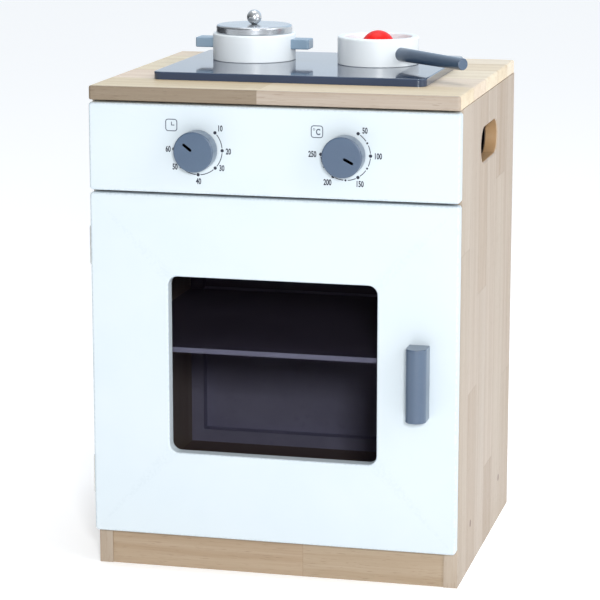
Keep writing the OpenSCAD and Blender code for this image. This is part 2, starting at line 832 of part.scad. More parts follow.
side_panel(-1);  // left_side_panel
side_panel(1);  // right_side_panel
bottom_panel();
divider_panel();
worktop();
plinth();
back_panel();
upright_batten(-1);  // back_batten_left
upright_batten(1);  // back_batten_right
level_batten(floor_z1);  // back_batten_bottom
level_batten(divider_z0 - batten_t);  // back_batten_top
top_rail(carcass_y);  // front_rail
top_rail(batten_y0);  // rear_rail
front_cleat();
shelf();
control_panel();
hob_plate();
hob_screws();
worktop_screws();
carcass_screws();
screw_plugs();
divider_dowels();
control_panel_screws();
back_panel_screws();
frame_leaf(hinge_upper_z);  // frame_leaf_upper
frame_leaf(hinge_lower_z);  // frame_leaf_lower
hinge_pin(hinge_upper_z);  // hinge_pin_upper
hinge_pin(hinge_lower_z);  // hinge_pin_lower
frame_hardware_screws();
catch_body();
catch_magnet();
door_panel();
window_pane();
pane_screws();
door_handle();
handle_screws();
door_leaf(hinge_upper_z);  // door_leaf_upper
door_leaf(hinge_lower_z);  // door_leaf_lower
door_hardware_screws();
strike_plate();
knob(-1);  // timer_knob
spindle(-1);  // timer_spindle
felt_ring(-1);  // timer_felt
back_washer(-1);  // timer_washer
spindle_screw(-1);  // timer_screw
knob(1);  // temperature_knob
spindle(1);  // temperature_spindle
felt_ring(1);  // temperature_felt
back_washer(1);  // temperature_washer
spindle_screw(1);  // temperature_screw
pot_body();
pot_handle(-1);  // pot_handle_left
pot_handle(1);  // pot_handle_right
pot_handle_dowels();
pot_lid();
lid_knob();
pan_body();
pan_handle();
tomato();
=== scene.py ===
import math

import bpy
import numpy as np
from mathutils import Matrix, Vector


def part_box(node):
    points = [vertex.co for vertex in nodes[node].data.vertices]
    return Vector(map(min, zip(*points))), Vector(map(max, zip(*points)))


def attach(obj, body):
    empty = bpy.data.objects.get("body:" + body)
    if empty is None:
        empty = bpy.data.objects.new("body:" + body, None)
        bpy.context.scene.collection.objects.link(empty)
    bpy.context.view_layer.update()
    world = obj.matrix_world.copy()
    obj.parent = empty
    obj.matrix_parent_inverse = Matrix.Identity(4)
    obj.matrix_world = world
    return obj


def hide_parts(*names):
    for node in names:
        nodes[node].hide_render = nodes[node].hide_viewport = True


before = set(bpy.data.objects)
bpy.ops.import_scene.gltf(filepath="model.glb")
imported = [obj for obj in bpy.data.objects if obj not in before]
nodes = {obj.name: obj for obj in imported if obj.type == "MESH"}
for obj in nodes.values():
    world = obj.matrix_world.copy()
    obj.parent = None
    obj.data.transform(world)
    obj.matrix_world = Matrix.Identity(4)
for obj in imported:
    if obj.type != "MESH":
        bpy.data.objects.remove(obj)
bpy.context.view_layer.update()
print("frame loaded,", len(nodes), "nodes")


cameraView = {
    "place": (0.6405, -2.6572, 0.8494),
    "aim": (-0.05616, 0.19489, 0.23277),
    "lens": 149.54,
    "sensor": 36.0,
}


def facing(place, aim):
    # the turn that points a camera's or a lamp's -Z from its place to its aim
    return (Vector(aim) - Vector(place)).to_track_quat("-Z", "Y").to_euler()


def addCamera(values):
    data = bpy.data.cameras.new("camera")
    data.lens = values["lens"]
    data.sensor_width = values["sensor"]
    data.clip_end = 100
    camera = bpy.data.objects.new("camera", data)
    camera.location = values["place"]
    camera.rotation_euler = facing(values["place"], values["aim"])
    bpy.context.scene.collection.objects.link(camera)
    bpy.context.scene.camera = camera


addCamera(cameraView)
bpy.context.scene.view_settings.view_transform = "Standard"
print("camera placed")


class Wire:
    # One socket of a material. Sums, products and comparisons of wires add Math nodes.
    def __init__(self, finish, socket):
        self.finish = finish
        self.socket = socket

    def maths(self, operation, *others):
        inputs = {0: self}
        for place, other in enumerate(others):
            inputs[place + 1] = other
        return self.finish.node("ShaderNodeMath", {"operation": operation}, inputs)

    def flipped(self, operation, other):
        return self.finish.node("ShaderNodeMath", {"operation": operation}, {0: other, 1: self})

    def __add__(self, other):
        return self.maths("ADD", other)

    def __radd__(self, other):
        return self.maths("ADD", other)

    def __sub__(self, other):
        return self.maths("SUBTRACT", other)

    def __rsub__(self, other):
        return self.flipped("SUBTRACT", other)

    def __mul__(self, other):
        return self.maths("MULTIPLY", other)

    def __rmul__(self, other):
        return self.maths("MULTIPLY", other)

    def __truediv__(self, other):
        return self.maths("DIVIDE", other)

    def __rtruediv__(self, other):
        return self.flipped("DIVIDE", other)

    def __gt__(self, other):
        return self.maths("GREATER_THAN", other)

    def __lt__(self, other):
        return self.maths("LESS_THAN", other)

    def ramp(self, low, high):
        # 0 below low, 1 above high, smooth between
        return self.finish.node(
            "ShaderNodeMapRange", {"interpolation_type": "SMOOTHSTEP"}, {
                "Value": self, "From Min": low, "From Max": high
            }
        )


class Finish:
    # A material with one Principled shader, and the one way that nodes are added to it
    def __init__(self, name, **constants):
        self.material = bpy.data.materials.new(name)
        self.material.use_nodes = True
        self.tree = self.material.node_tree
        self.shader = self.tree.nodes["Principled BSDF"]
        for socket, value in constants.items():
            self.shader.inputs[socket.replace("_", " ")].default_value = value
        coords = self.node("ShaderNodeTexCoord", {}, {}, "Object")
        self.coords = coords
        parts = self.node("ShaderNodeSeparateXYZ", {}, {0: coords}, None)
        self.x, self.y, self.z = (Wire(self, parts.outputs[i]) for i in range(3))

    def node(self, kind, settings, inputs, output=0):
        made = self.tree.nodes.new(kind)
        for key, value in settings.items():
            if key == "stops":
                setStops(made.color_ramp, value)
            elif key == "blend":
                made.color_ramp.interpolation = value
            else:
                setattr(made, key, value)
        for key, value in inputs.items():
            socket = made.inputs[key]
            if isinstance(value, Wire):
                self.tree.links.new(value.socket, socket)
            else:
                socket.default_value = value
        return made if output is None else Wire(self, made.outputs[output])

    def feed(self, **wires):
        for socket, wire in wires.items():
            self.tree.links.new(wire.socket, self.shader.inputs[socket.replace("_", " ")])

    def vector(self, x, y, z):
        return self.node("ShaderNodeCombineXYZ", {}, {0: x, 1: y, 2: z})

    def noise(self, scale, detail=2.0, roughness=0.5, distortion=0.0, vector=None):
        inputs = {
            "Vector": vector or self.coords,
            "Scale": scale,
            "Detail": detail,
            "Roughness": roughness,
            "Distortion": distortion,
        }
        return self.node("ShaderNodeTexNoise", {}, inputs)

    def blend(self, factor, first, second, mode="MIX"):
        # colours go through Mix, never through Math
        made = self.node(
            "ShaderNodeMix",
            {"data_type": "RGBA", "blend_type": mode},
            {0: factor, 6: first, 7: second},
            None,
        )
        return Wire(self, made.outputs[2])

    def bump(self, height, depth, strength=1.0):
        made = self.node("ShaderNodeBump", {}, {"Height": height, "Distance": depth, "Strength": strength})
        self.feed(Normal=made)

    def edge(self):
        # 1 on the softened edges of a piece, 0 elsewhere and on plain nodes
        return self.node("ShaderNodeAttribute", {"attribute_name": "edge"}, {}, "Fac")


def setStops(ramp, stops):
    while len(ramp.elements) < len(stops):
        ramp.elements.new(1.0)
    for element, (place, colour) in zip(ramp.elements, stops):
        element.position = place
        element.color = colour


def tint(red, green, blue, alpha=1.0):
    # a screen colour from 0 to 255 as linear light
    share = np.array([red, green, blue]) / 255
    linear = np.where(share <= 0.04045, share / 12.92, ((share + 0.055) / 1.055) ** 2.4)
    return (*(float(v) for v in linear), alpha)


def grey(value):
    return (value, value, value, 1.0)


worktopBox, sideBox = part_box("worktop"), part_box("left_side_panel")
worktopLook = {
    "axes": "xyz",  # along the grain, across the staves, through the board
    "from": worktopBox[0][1],
    "to": worktopBox[1][1],
    "reach": 0.42,  # the range of the joint positions, either side of the middle
    # each stave: where it starts, its colour before and after its joint, and where the joint is
    "staves": [
        (0.0, tint(214, 199, 168), tint(222, 208, 180), -0.016),
        (0.22, tint(224, 206, 186), tint(221, 205, 184), 0.105),
        (0.44, tint(222, 209, 180), tint(226, 213, 188), -0.12),
        (0.66, tint(226, 214, 186), tint(220, 204, 176), 0.06),
        (0.85, tint(221, 205, 182), tint(227, 214, 192), -0.03),
    ],
    # painted shade: the sawn front face is darker than the top, standing in for the shade on the upright
    # face: how deep it goes, and its colour on both sides of the joint
    "paintedShadeFront": (0.0022, tint(134, 121, 104), tint(169, 158, 146)),
    "roughness": 0.42,
}
sideLook = {
    "axes": "zyx",
    "from": sideBox[0][1],
    "to": sideBox[1][1],
    "reach": 0.6,
    "staves": [
        (0.0, tint(174, 161, 146), tint(180, 168, 154), 0.36),
        (0.15, tint(169, 154, 138), tint(177, 164, 150), 0.20),
        (0.31, tint(179, 167, 154), tint(173, 158, 142), 0.30),
        (0.47, tint(168, 153, 137), tint(179, 166, 152), 0.09),
        (0.64, tint(178, 165, 150), tint(170, 154, 137), 0.41),
        (0.82, tint(172, 157, 140), tint(177, 163, 148), 0.17),
    ],
    "roughness": 0.45,
}
plinthLook = {
    "axes": "xzy",
    "from": 0.0,
    "to": 0.042,
    "reach": 0.42,
    "staves": [(0.0, tint(168, 149, 126), tint(169, 152, 130), 0.03)],
    "roughness": 0.5,
}
# painted shade: the inner wood is darker and greyer than the wood outside, standing in for the dim light
# inside the oven
innerShadedLook = {
    "axes": "xyz",
    "from": sideBox[0][1],
    "to": sideBox[1][1],
    "reach": 0.42,
    "staves": [
        (0.0, tint(142, 124, 116), tint(136, 118, 111), 0.07),
        (0.3, tint(133, 115, 108), tint(144, 127, 119), -0.09),
        (0.62, tint(145, 128, 120), tint(138, 120, 113), 0.12),
    ],
    "roughness": 0.62,
}


def woodFinish(name, look, slotWall=None):
    # Staves side by side, each in two lengths that meet at a joint. Fibres are noise drawn out along
    # the grain, the figure is a slow band, pores are short dark strokes, and seams are thin lines.
    f = Finish(name, IOR=1.45)
    axis = {"x": f.x, "y": f.y, "z": f.z}
    along, across, through = (axis[letter] for letter in look["axes"])
    share = (across - look["from"]) / (look["to"] - look["from"])
    firsts = [(start, before) for start, before, after, joint in look["staves"]]
    seconds = [(start, after) for start, before, after, joint in look["staves"]]
    places = [
        (start, grey(0.5 + joint / look["reach"] / 2)) for start, before, after, joint in look["staves"]
    ]
    steady = {"blend": "CONSTANT"}
    before = f.node("ShaderNodeValToRGB", {**steady, "stops": firsts}, {0: share})
    after = f.node("ShaderNodeValToRGB", {**steady, "stops": seconds}, {0: share})
    spot = f.node("ShaderNodeValToRGB", {**steady, "stops": places}, {0: share})
    joint = (f.node("ShaderNodeSeparateColor", {}, {0: spot}) - 0.5) * (2 * look["reach"])
    past = along - joint
    side = past > 0.0
    base = f.blend(side, before, after)
    # painted shade: the front face of the board is darker than its top
    if "paintedShadeFront" in look:
        depth, left, right = look["paintedShadeFront"]
        base = f.blend(across < look["from"] + depth, base, f.blend(side, left, right))
    # every length of wood has its own grain
    lengthwise = along * 2.2 + side * 7.3 + joint * 31.0
    wander = f.noise(1.0, 2.0, 0.5, 0.0, f.vector(along * 9.0, across * 14.0, through * 14.0)) - 0.5
    fibre = f.noise(
        1.0, 4.0, 0.62, 0.2, f.vector(lengthwise * 5.0, (across + wander * 0.004) * 620.0, through * 620.0)
    )
    figure = f.noise(
        1.0, 3.0, 0.55, 0.8, f.vector(lengthwise, (across + wander * 0.012) * 62.0, through * 62.0)
    )
    cloud = f.noise(9.0, 2.0, 0.5)
    strokes = f.vector(lengthwise * 34.0, across * 1500.0, through * 1500.0)
    pores = f.noise(1.0, 1.0, 0.4, 0.0, strokes).ramp(0.66, 0.74)
    toned = f.blend(figure.ramp(0.35, 0.75) * 0.42, base, (0.68, 0.57, 0.44, 1.0), "MULTIPLY")
    toned = f.blend(fibre.ramp(0.3, 0.8) * 0.24, toned, (0.58, 0.47, 0.36, 1.0), "MULTIPLY")
    toned = f.blend(cloud.ramp(0.35, 0.7) * 0.22, toned, (1.0, 0.95, 0.93, 1.0), "MULTIPLY")
    toned = f.blend(pores * 0.38, toned, (0.34, 0.22, 0.13, 1.0), "MULTIPLY")
    seam = (past.maths("ABSOLUTE") < 0.00028) * 0.9
    for stave in look["staves"][1:]:
        nearby = (share - stave[0]).maths("ABSOLUTE") < 0.0003 / (look["to"] - look["from"])
        seam = seam.maths("MAXIMUM", nearby)
    toned = f.blend(seam * 0.42, toned, (0.42, 0.30, 0.19, 1.0), "MULTIPLY")
    toned = f.blend(f.edge() * 0.25, toned, (0.93, 0.87, 0.78, 1.0), "MULTIPLY")
    if slotWall:
        # the sawn wall of the hand slot is darker: distance to the slot's round-ended outline
        reachY = ((f.y - slotWall["y"]).maths("ABSOLUTE") - slotWall["straight"] / 2).maths("MAXIMUM", 0.0)
        reachZ = f.z - slotWall["z"]
        away = (reachY * reachY + reachZ * reachZ).maths("SQRT") - slotWall["radius"]
        inside = (away < 0.0006) * (f.x.maths("ABSOLUTE") < slotWall["face"])
        toned = f.blend(inside * 0.9, toned, tint(166, 133, 94))
    f.feed(Base_Color=toned, Roughness=fibre * 0.14 + (look["roughness"] - 0.05) + pores * 0.12)
    f.bump(fibre * 0.25 - pores * 0.6 - seam * 0.9 + figure * 0.1, 0.00012, 0.55)
    return f.material


def lacquerFinish(name, colour, drift, roughness, peel=1.0, speckle=0.0, **constants):
    # Sprayed lacquer: a slow drift of the colour, orange peel in the gloss, dust under the coat,
    # and a thinner coat on the edges
    f = Finish(name, **constants)
    slow = f.noise(14.0, 2.0, 0.5)
    skin = f.noise(760.0, 2.0, 0.45)
    wave = f.noise(120.0, 1.0, 0.4)
    base = f.blend(slow.ramp(0.3, 0.7), colour, drift)
    dust = f.noise(2300.0, 1.0, 0.5).ramp(0.66, 0.76)
    if speckle:
        base = f.blend(dust * speckle, base, (0.55, 0.58, 0.62, 1.0))
    worn = f.edge() * f.noise(330.0, 3.0, 0.6).ramp(0.42, 0.62)
    base = f.blend(worn * 0.3, base, drift, "MULTIPLY")
    f.feed(Base_Color=base, Roughness=slow * 0.08 + skin * 0.05 + worn * 0.08 + (roughness - 0.065))
    f.bump(skin * 0.6 + wave * 0.8 + dust * 0.3, 0.00004 * peel, 0.5)
    return f.material


def hobFinish(name, colour, drift):
    # High gloss with faint wiping marks: long stretched noise makes the gloss a little uneven
    f = Finish(
        name,
        IOR=1.5,
        Coat_Weight=0.45,
        Coat_Roughness=0.03,
        Coat_IOR=1.5,
        Specular_Tint=(0.80, 0.92, 1.0, 1.0),
    )
    slow = f.noise(11.0, 3.0, 0.5)
    wipe = f.noise(
        1.0, 3.0, 0.6, 0.4, f.vector(f.x * 16.0 + f.y * 9.0, f.y * 120.0 - f.x * 60.0, f.z * 40.0)
    )
    base = f.blend(slow.ramp(0.3, 0.7), colour, drift)
    base = f.blend(f.edge() * 0.35, base, (0.055, 0.075, 0.11, 1.0))
    f.feed(Base_Color=base, Roughness=wipe * 0.07 + slow * 0.04 + 0.03)
    f.bump(f.noise(420.0, 2.0, 0.45) + slow * 2.0, 0.000012, 0.4)
    return f.material


def silverFinish(name, colour, drift):
    # Metallic lacquer on turned wood: fine flakes, and faint rings left by the lathe
    f = Finish(name, Metallic=0.92, IOR=1.5, Coat_Weight=0.35, Coat_Roughness=0.12)
    flake = f.noise(2600.0, 1.0, 0.5)
    rings = f.noise(1.0, 2.0, 0.6, 0.0, f.vector(f.x * 6.0, f.y * 6.0, f.z * 900.0))
    slow = f.noise(34.0, 2.0, 0.5)
    base = f.blend(slow.ramp(0.3, 0.7), colour, drift)
    base = f.blend(flake.ramp(0.55, 0.75) * 0.25, base, (0.80, 0.83, 0.86, 1.0))
    f.feed(Base_Color=base, Roughness=flake * 0.05 + rings * 0.05 + 0.2)
    f.bump(flake * 0.4 + rings * 0.5, 0.00001, 0.2)
    return f.material


def metalFinish(name, colour, drift, roughness):
    # Plated metal: drawing lines and clouded plating
    f = Finish(name, Metallic=1.0)
    lines = f.noise(1.0, 3.0, 0.6, 0.0, f.vector(f.x * 700.0, f.y * 700.0, f.z * 30.0))
    cloud = f.noise(210.0, 3.0, 0.55)
    f.feed(
        Base_Color=f.blend(cloud.ramp(0.3, 0.7), colour, drift),
        Roughness=lines * 0.16 + cloud * 0.1 + (roughness - 0.1),
    )
    f.bump(lines, 0.00003, 0.4)
    return f.material


def boardFinish(name, colour, drift, paintedShade, paintedShadeAbove):
    # Painted fibreboard: roller stipple and a few darker fibres, and painted shade: darker above the shelf,
    # on both faces, for the shade inside the oven
    f = Finish(name, IOR=1.45)
    stipple = f.noise(900.0, 3.0, 0.6)
    cloud = f.noise(16.0, 3.0, 0.5)
    strands = f.noise(1.0, 2.0, 0.5, 1.0, f.vector(f.x * 180.0, f.y * 260.0, f.z * 180.0)).ramp(0.6, 0.72)
    base = f.blend(cloud.ramp(0.3, 0.7), colour, drift)
    base = f.blend(strands * 0.18, base, drift, "MULTIPLY")
    # painted shade: the board is darker above the shelf
    base = f.blend((f.z > paintedShadeAbove) * 0.9, base, paintedShade, "MULTIPLY")
    f.feed(Base_Color=base, Roughness=stipple * 0.15 + 0.5)
    f.bump(stipple + strands * 0.5, 0.00008, 0.5)
    return f.material


def feltFinish(name, colour, drift):
    # Pressed felt: tangled fibres in two sizes
    f = Finish(name, Sheen_Weight=0.4, Sheen_Roughness=0.5)
    tangle = f.noise(1500.0, 4.0, 0.7, 1.4)
    tuft = f.noise(420.0, 2.0, 0.6)
    f.feed(Base_Color=f.blend(tangle.ramp(0.3, 0.7), colour, drift), Roughness=tuft * 0.1 + 0.85)
    f.bump(tangle + tuft, 0.0002, 0.8)
    return f.material


def smokedFinish(name, colour, drift, cover):
    # Smoked acrylic: the tint covers most of what is behind it, and the surface has faint rubbing marks
    f = Finish(name, IOR=1.35, Specular_IOR_Level=0.05)
    rub = f.noise(1.0, 3.0, 0.6, 0.6, f.vector(f.x * 60.0, f.y * 60.0, f.z * 9.0))
    slow = f.noise(8.0, 2.0, 0.5)
    f.feed(
        Base_Color=f.blend(slow.ramp(0.3, 0.7), colour, drift),
        Roughness=rub * 0.06 + 0.02,
        Alpha=slow * 0.05 + (cover - 0.025),
    )
    f.bump(slow, 0.00002, 0.2)
    return f.material


def printFinish(name, colour, drift):
    # Screen-printed ink: slightly uneven and a little less glossy than the paint
    f = Finish(name, IOR=1.45)
    grain = f.noise(1800.0, 2.0, 0.6)
    f.feed(Base_Color=f.blend(grain.ramp(0.35, 0.7), colour, drift), Roughness=grain * 0.12 + 0.4)
    f.bump(grain, 0.00002, 0.4)
    return f.material


# the hand slot in both side panels: its middle, its straight run, its end radius, and how far out from the
# middle of the toy its darker wall goes
slotWall = {"y": 0.021, "z": 0.4595, "straight": 0.070, "radius": 0.019, "face": 0.1987}
# painted shade inside the oven: what the board is multiplied by above the shelf, and the height it starts at,
# just under the shelf's top
boardPaintedShade = ((0.24, 0.20, 0.24, 1.0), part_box("shelf")[1][2] - 0.00015)
finishes = {
    "side_wood": woodFinish("side_wood", sideLook, slotWall),
    "worktop_wood": woodFinish("worktop_wood", worktopLook),
    "plinth_wood": woodFinish("plinth_wood", plinthLook),
    "inner_wood": woodFinish("inner_wood", innerShadedLook),
    "front_paint": lacquerFinish(
        "front_paint", (0.575, 0.64, 0.68, 1), (0.56, 0.63, 0.675, 1), 0.38, IOR=1.47
    ),
    "vessel_paint": lacquerFinish(
        "vessel_paint", (0.82, 0.87, 0.895, 1), (0.79, 0.85, 0.885, 1), 0.34, IOR=1.48
    ),
    "slate_paint": lacquerFinish(
        "slate_paint",
        tint(60, 83, 108),
        tint(54, 76, 102),
        0.34,
        1.4,
        0.16,
        IOR=1.5,
        Coat_Weight=0.9,
        Coat_Roughness=0.36,
    ),
    "hob_paint": hobFinish("hob_paint", tint(44, 59, 88), tint(39, 53, 80)),
    "grey_board": boardFinish("grey_board", tint(168, 168, 198), tint(155, 155, 185), *boardPaintedShade),
    "silver_paint": silverFinish("silver_paint", (0.56, 0.59, 0.62, 1), (0.48, 0.51, 0.55, 1)),
    "red_paint": lacquerFinish(
        "red_paint",
        tint(232, 20, 14),
        tint(222, 12, 9),
        0.42,
        1.0,
        0.0,
        IOR=1.4,
        Specular_IOR_Level=0.3,
        Coat_Weight=0.08,
        Coat_Roughness=0.08,
    ),
    "smoked_acrylic": smokedFinish(
        "smoked_acrylic", (0.0022, 0.0014, 0.0022, 1), (0.0018, 0.0012, 0.002, 1), 0.30
    ),
    "zinc_steel": metalFinish("zinc_steel", (0.60, 0.60, 0.58, 1), (0.50, 0.51, 0.50, 1), 0.36),
    "plated_steel": metalFinish("plated_steel", (0.68, 0.67, 0.64, 1), (0.60, 0.60, 0.58, 1), 0.26),
    "catch_plastic": lacquerFinish(
        "catch_plastic", (0.78, 0.78, 0.76, 1), (0.74, 0.74, 0.72, 1), 0.45, 1.5, IOR=1.46
    ),
    "magnet": metalFinish("magnet", (0.20, 0.20, 0.21, 1), (0.15, 0.15, 0.16, 1), 0.5),
    "felt": feltFinish("felt", (0.30, 0.31, 0.33, 1), (0.20, 0.21, 0.23, 1)),
}
ink = printFinish("dial_ink", tint(28, 31, 46), tint(38, 42, 58))
pointerInk = printFinish("pointer_ink", tint(42, 48, 68), tint(50, 56, 76))
softInk = printFinish("icon_ink", tint(66, 74, 92), tint(78, 86, 104))
# painted light: the pot's grips get a lighter copy of the slate paint, standing in for the brighter light on
# them
gripPaintedLight = lacquerFinish(
    "grip_paint_lit",
    tint(134, 158, 178),
    tint(126, 150, 171),
    0.4,
    1.4,
    0.16,
    IOR=1.5,
    Coat_Weight=0.4,
    Coat_Roughness=0.3,
)
finishOf = {
    "side_wood": "left_side_panel right_side_panel",
    "worktop_wood": "worktop",
    "plinth_wood": "plinth",
    "inner_wood": "bottom_panel divider_panel back_batten_left back_batten_right back_batten_bottom "
    "back_batten_top front_rail rear_rail front_cleat screw_plugs divider_dowels timer_spindle "
    "temperature_spindle pot_handle_dowels",
    "front_paint": "control_panel door_panel",
    "vessel_paint": "pot_body pan_body",
    "slate_paint": "door_handle timer_knob temperature_knob pot_handle_left pot_handle_right pan_handle",
    "hob_paint": "hob_plate",
    "grey_board": "back_panel shelf",
    "silver_paint": "pot_lid lid_knob",
    "red_paint": "tomato",
    "smoked_acrylic": "window_pane",
    "zinc_steel": "hob_screws worktop_screws carcass_screws control_panel_screws back_panel_screws "
    "frame_hardware_screws pane_screws handle_screws door_hardware_screws timer_screw temperature_screw "
    "timer_washer temperature_washer",
    "plated_steel": "frame_leaf_upper frame_leaf_lower hinge_pin_upper hinge_pin_lower door_leaf_upper "
    "door_leaf_lower strike_plate",
    "catch_plastic": "catch_body",
    "magnet": "catch_magnet",
    "felt": "timer_felt temperature_felt",
}
# the battens carry the same painted shade above the shelf as the back board
battenPaint = boardFinish("batten_paint", tint(166, 166, 196), tint(153, 153, 183), *boardPaintedShade)
for slotName, members in finishOf.items():
    for member in members.split():
        for materialSlot in nodes[member].material_slots:
            # the battens on the back board are painted with it
            materialSlot.material = battenPaint if member.startswith("back_batten") else finishes[slotName]
print(len(finishes), "slot finishes made, and five more for the prints, grips and battens")


def softLine(corners, radii, closed=False, steps=6, support=0.0004):
    # Walks a polyline and swaps each corner for an arc that is tangent to both sides. A point stands on the
    # straight just before and after each arc. Returns points, normals on the right of the walk, and a
    # bend mark.
    corners = np.array(corners, float)
    radii = np.broadcast_to(radii, len(corners))
    points, normals, bends = [], [], []
    for i, (corner, radius) in enumerate(zip(corners, radii)):
        end = not closed and i in (0, len(corners) - 1)
        before = corner - corners[i - 1] if closed or i else corners[1] - corners[0]
        after = corners[(i + 1) % len(corners)] - corner if closed or i < len(corners) - 1 else before
        before, after = before / np.hypot(*before), after / np.hypot(*after)
        heading = math.atan2(before[1], before[0])
        turn = math.atan2(before[0] * after[1] - before[1] * after[0], before @ after)
        if end or radius == 0 or turn == 0:
            angle = np.array([heading + turn / 2])
            spots = corner[None, :]
            mark = np.array([0.0])
        else:
            cut = radius * math.tan(abs(turn) / 2)
            start = corner - before * cut
            angle = heading + turn * np.linspace(0, 1, steps + 1)
            sign = math.copysign(1, turn)
            centre = start + sign * radius * np.array([-before[1], before[0]])
            spots = centre + sign * radius * np.stack([np.sin(angle), -np.cos(angle)], 1)
            spots = np.vstack([start - before * support, spots, corner + after * (cut + support)])
            angle = np.concatenate([[heading], angle, [heading + turn]])
            mark = np.sin(np.linspace(0, math.pi, steps + 3))
        points.append(spots)
        normals.append(np.stack([np.sin(angle), -np.cos(angle)], 1))
        bends.append(mark)
    return np.vstack(points), np.vstack(normals), np.concatenate(bends)


def gridPart(rings, edge, wrap=False, poles=(None, None)):
    # Closed loops of equal length, joined one to the next. The ends close on a middle point.
    rows, count = rings.shape[:2]
    here = np.arange(count)
    following = np.roll(here, -1)
    starts = np.arange(rows if wrap else rows - 1)[:, None] * count
    nexts = (np.arange(1, rows + 1 if wrap else rows) % rows)[:, None] * count
    quads = np.stack([starts + here, starts + following, nexts + following, nexts + here], -1)
    quads = quads.reshape(-1, 4)
    points = rings.reshape(-1, 3)
    edges = edge.reshape(-1)
    triangles = np.zeros((0, 3), int)
    if not wrap:
        middles = [
            rings[0].mean(0) if poles[0] is None else poles[0],
            rings[-1].mean(0) if poles[1] is None else poles[1],
        ]
        total = len(points)
        last = (rows - 1) * count
        first = np.stack([np.full(count, total), following, here], -1)
        final = np.stack([np.full(count, total + 1), last + here, last + following], -1)
        triangles = np.vstack([first, final])
        points = np.vstack([points, middles])
        edges = np.append(edges, [edges[0], edges[last]])
    return orient(points, quads, triangles, edges)


def orient(points, quads, triangles, edges):
    # Signed volume of the closed surface: a negative one means that it is inside out
    fans = np.vstack([quads[:, [0, 1, 2]], quads[:, [0, 2, 3]], triangles])
    a, b, c = (points[fans[:, k]] - points.mean(0) for k in range(3))
    if np.einsum("ij,ij->i", a, np.cross(b, c)).sum() < 0:
        quads, triangles = quads[:, ::-1], triangles[:, ::-1]
    return points, quads, triangles, edges


def placed(flat, height, axes):
    # flat coordinates and heights to places: origin + u * first axis + v * second axis + height * third axis
    origin, first, second, third = (np.array(axis, float) for axis in axes)
    return origin + flat[..., :1] * first + flat[..., 1:2] * second + height[..., None] * third


def sweptPart(outline, profile, axes):
    # Each point of the profile is (inset, height): the outline moved inwards by the inset, at that height
    points, normals, corners = outline
    line, unused, bends = profile
    flat = points[None] - line[:, 0, None, None] * normals[None]
    height = np.broadcast_to(line[:, 1, None], flat.shape[:2])
    edge = np.maximum(bends[:, None], corners[None] * 0.6)
    return gridPart(placed(flat, height, axes), edge)


def turnedPart(profile, axes, count=96):
    # The profile is (radius, height), turned about the third axis. It starts and ends on that axis.
    line, unused, bends = profile
    angle = np.linspace(0, 2 * math.pi, count, endpoint=False)
    circle = np.stack([np.cos(angle), np.sin(angle)], 1)
    inner = slice(1, -1)
    flat = line[inner, 0, None, None] * circle[None]
    height = np.broadcast_to(line[inner, 1, None], flat.shape[:2])
    edge = np.broadcast_to(bends[inner, None], height.shape)
    poles = [placed(np.zeros(2), np.array(line[end, 1]), axes) for end in (0, -1)]
    return gridPart(placed(flat, height, axes), edge, False, poles)


def softRect(width, height, radius, centre=(0, 0), steps=6):
    x, y = width / 2, height / 2
    points, normals, bends = softLine([(-x, -y), (x, -y), (x, y), (-x, y)], radius, True, steps)
    return points + np.array(centre), normals, bends


def addPiece(name, parts, body, slotName, replaced=(), material=None):
    # Joins the parts into one mesh at the origin, gives it its edge marks and finish, and lets it ride
    points, faces, edges, base = [], [], [], 0
    for partPoints, quads, triangles, partEdges in parts:
        points.append(partPoints)
        edges.append(partEdges)
        faces += (quads + base).tolist() + (triangles + base).tolist()
        base += len(partPoints)
    mesh = bpy.data.meshes.new(name)
    mesh.from_pydata(np.vstack(points).tolist(), [], faces)
    mesh.update()
    mesh.polygons.foreach_set("use_smooth", np.ones(len(mesh.polygons), bool))
    mesh.set_sharp_from_angle(angle=math.radians(38))
    layer = mesh.attributes.new("edge", "FLOAT", "POINT")
    layer.data.foreach_set("value", np.concatenate(edges).astype(np.float32))
    mesh.materials.append(material or finishes[slotName])
    piece = bpy.data.objects.new(name, mesh)
    bpy.context.scene.collection.objects.link(piece)
    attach(piece, body)
    if replaced:
        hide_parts(*replaced)
    return piece


def middle(node):
    low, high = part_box(node)
    return [(low[i] + high[i]) / 2 for i in range(3)], [high[i] - low[i] for i in range(3)]


flatMargin = 0.0008  # how far inside the rounded edge a flat face has its first ring


def slabProfile(thickness, topRadius, footRadius, margin=flatMargin):
    # from the foot's inner ring, round both edges, to the top's inner ring
    cover = topRadius + margin
    corners = [(cover, 0), (0, 0), (0, thickness), (cover, thickness)]
    return softLine(corners, [0, footRadius, topRadius, 0], False, 6, 0.0003)


slabs = {
    "worktop": {"corner": 0.0036, "edge": 0.0024, "foot": 0.0016},
    "hob": {"corner": 0.010, "edge": 0.0013, "foot": 0.0004},
    "front": {"corner": 0.0036, "edge": 0.0024, "foot": 0.0012},
}


def addLyingSlab(name, node, values, body, slotName):
    centre, size = middle(node)
    outline = softRect(size[0], size[1], values["corner"])
    profile = slabProfile(size[2], values["edge"], values["foot"])
    axes = ((centre[0], centre[1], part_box(node)[0][2]), (1, 0, 0), (0, 1, 0), (0, 0, 1))
    addPiece(name, [sweptPart(outline, profile, axes)], body, slotName, [node])


addLyingSlab("worktop_board", "worktop", slabs["worktop"], "cabinet", "worktop_wood")
addLyingSlab("hob_top", "hob_plate", slabs["hob"], "cabinet", "hob_paint")


